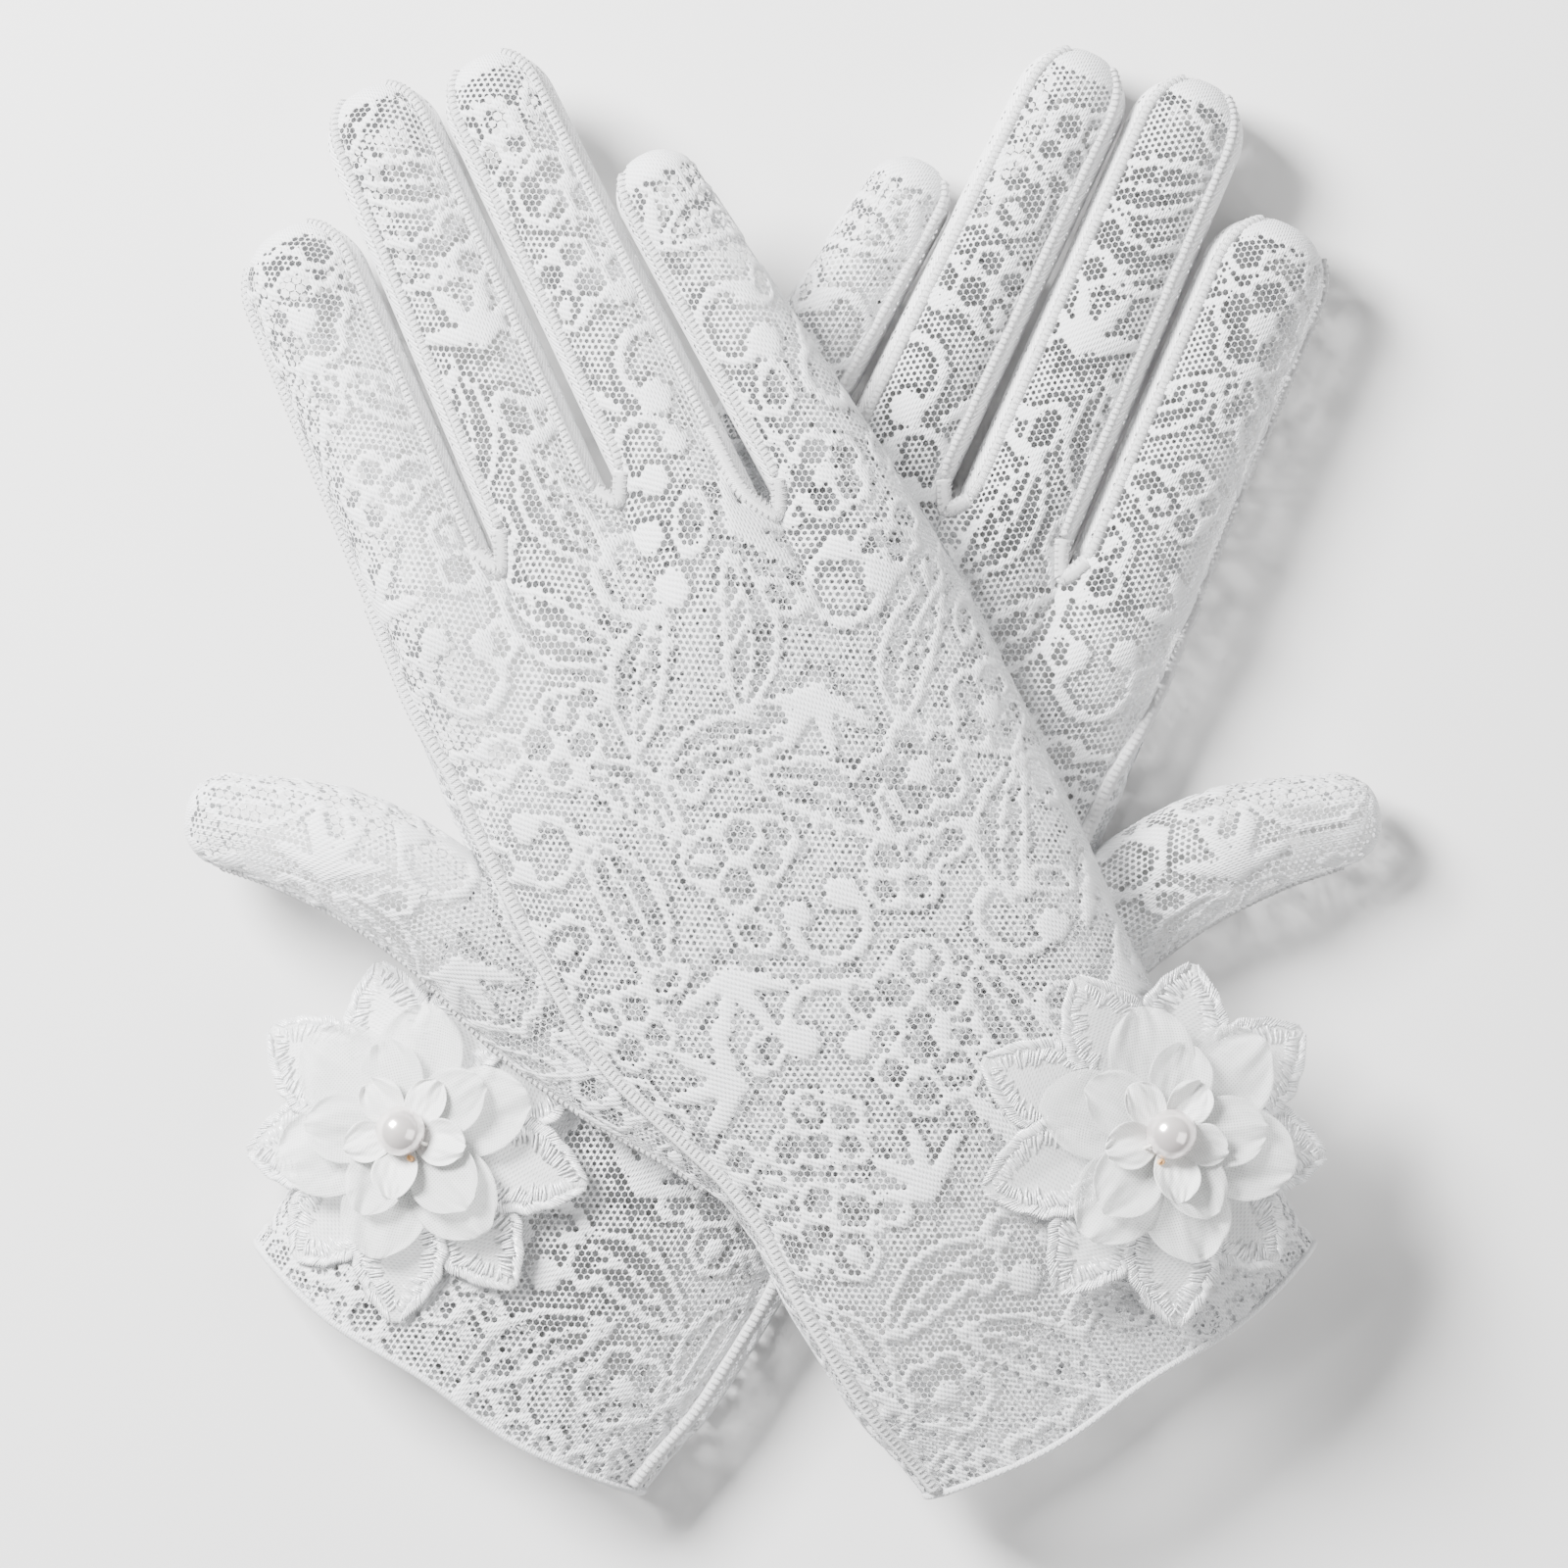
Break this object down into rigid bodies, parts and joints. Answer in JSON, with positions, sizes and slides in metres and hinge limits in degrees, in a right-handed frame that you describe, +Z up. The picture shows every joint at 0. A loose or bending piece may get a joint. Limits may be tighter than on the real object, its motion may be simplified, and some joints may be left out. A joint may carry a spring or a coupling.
{
  "type": "pair of lace wedding gloves",
  "caption": "Pair of short white lace gloves, worn shape, laid crossed palm down, each with plain strips between the fingers, a seamed thumb and a fabric flower with a pearl on the cuff.",
  "frame": {"origin": "middle of the pair's box, on the surface it lies on", "axes": "+X to the right and +Y towards the fingertips as seen from above, +Z up out of the backs of the hands"},
  "size_m": [0.1849, 0.225, 0.0437],
  "materials": {
    "lace": "matt openwork knit",
    "seam": "matt plain knit",
    "petal": "soft chiffon and organza with a silky embroidered rim",
    "thread": "satin sewing thread",
    "pearl": "pearlescent gloss"
  },
  "bodies": {
    "left_hand": {"left_palm_lace": "lace", "left_back_lace": "lace", "left_side_seam": "seam", "left_hem_band": "lace", "left_finger_base_backs": "lace", "left_finger_base_palms": "lace", "left_fourchettes": "seam", "left_thumb_base": "lace", "left_lower_petals": "petal", "left_middle_petals": "petal", "left_inner_petals": "petal", "left_pearl_thread": "thread"},
    "left_index_tip": {"left_index_back": "lace", "left_index_palm": "lace", "left_index_fourchette": "seam", "left_index_seam": "seam"},
    "left_middle_tip": {"left_middle_back": "lace", "left_middle_palm": "lace", "left_middle_fourchettes": "seam"},
    "left_ring_tip": {"left_ring_back": "lace", "left_ring_palm": "lace", "left_ring_fourchettes": "seam"},
    "left_little_tip": {"left_little_back": "lace", "left_little_palm": "lace", "left_little_fourchette": "seam"},
    "left_thumb_tip": {"left_thumb_back": "lace", "left_thumb_palm": "lace", "left_thumb_seam": "seam"},
    "left_pearl": {"left_pearl": "pearl"},
    "right_hand": {"right_palm_lace": "lace", "right_back_lace": "lace", "right_side_seam": "seam", "right_hem_band": "lace", "right_finger_base_backs": "lace", "right_finger_base_palms": "lace", "right_fourchettes": "seam", "right_thumb_base": "lace", "right_lower_petals": "petal", "right_middle_petals": "petal", "right_inner_petals": "petal", "right_pearl_thread": "thread"},
    "right_index_tip": {"right_index_back": "lace", "right_index_palm": "lace", "right_index_fourchette": "seam", "right_index_seam": "seam"},
    "right_middle_tip": {"right_middle_back": "lace", "right_middle_palm": "lace", "right_middle_fourchettes": "seam"},
    "right_ring_tip": {"right_ring_back": "lace", "right_ring_palm": "lace", "right_ring_fourchettes": "seam"},
    "right_little_tip": {"right_little_back": "lace", "right_little_palm": "lace", "right_little_fourchette": "seam"},
    "right_thumb_tip": {"right_thumb_back": "lace", "right_thumb_palm": "lace", "right_thumb_seam": "seam"},
    "right_pearl": {"right_pearl": "pearl"}
  },
  "joints": [
    {"name": "left_index_fold", "type": "hinge", "parent": "left_hand", "child": "left_index_tip", "pos_m": [0.06386, 0.05541, 0.0197], "axis": [0.9198, -0.3923, 0], "range_deg": [0, 70]},
    {"name": "left_middle_fold", "type": "hinge", "parent": "left_hand", "child": "left_middle_tip", "pos_m": [0.04854, 0.06982, 0.01882], "axis": [0.9164, -0.4003, 0], "range_deg": [0, 70]},
    {"name": "left_ring_fold", "type": "hinge", "parent": "left_hand", "child": "left_ring_tip", "pos_m": [0.03, 0.07609, 0.01807], "axis": [0.8996, -0.4368, 0], "range_deg": [0, 70]},
    {"name": "left_little_fold", "type": "hinge", "parent": "left_hand", "child": "left_little_tip", "pos_m": [0.00924, 0.07378, 0.01535], "axis": [0.859, -0.512, 0], "range_deg": [0, 70]},
    {"name": "left_thumb_fold", "type": "hinge", "parent": "left_hand", "child": "left_thumb_tip", "pos_m": [0.06298, -0.01217, 0.01891], "axis": [0.2284, -0.9736, 0], "range_deg": [0, 60]},
    {"name": "left_pearl_spin", "type": "hinge", "parent": "left_hand", "child": "left_pearl", "pos_m": [-0.05859, -0.05296, 0.02462], "axis": [0.8503, -0.4483, 0.2756], "continuous": true},
    {"name": "right_index_fold", "type": "hinge", "parent": "right_hand", "child": "right_index_tip", "pos_m": [-0.06437, 0.05661, 0.02731], "axis": [0.9198, 0.3923, 0], "range_deg": [0, 70]},
    {"name": "right_middle_fold", "type": "hinge", "parent": "right_hand", "child": "right_middle_tip", "pos_m": [-0.04897, 0.07082, 0.02828], "axis": [0.9164, 0.4003, 0], "range_deg": [0, 70]},
    {"name": "right_ring_fold", "type": "hinge", "parent": "right_hand", "child": "right_ring_tip", "pos_m": [-0.03041, 0.07693, 0.03061], "axis": [0.8996, 0.4368, 0], "range_deg": [0, 70]},
    {"name": "right_little_fold", "type": "hinge", "parent": "right_hand", "child": "right_little_tip", "pos_m": [-0.00929, 0.07387, 0.03497], "axis": [0.859, 0.512, 0], "range_deg": [0, 70]},
    {"name": "right_thumb_fold", "type": "hinge", "parent": "right_hand", "child": "right_thumb_tip", "pos_m": [-0.06476, -0.01175, 0.03472], "axis": [0.2284, 0.9736, 0], "range_deg": [0, 60]},
    {"name": "right_pearl_spin", "type": "hinge", "parent": "right_hand", "child": "right_pearl", "pos_m": [0.05859, -0.05296, 0.03948], "axis": [0.8503, 0.4483, -0.2756], "continuous": true},
    {"name": "glove_lift", "type": "slide", "parent": "left_hand", "child": "right_hand", "axis": [0, 0, 1], "range_m": [0, 0.06]}
  ]
}
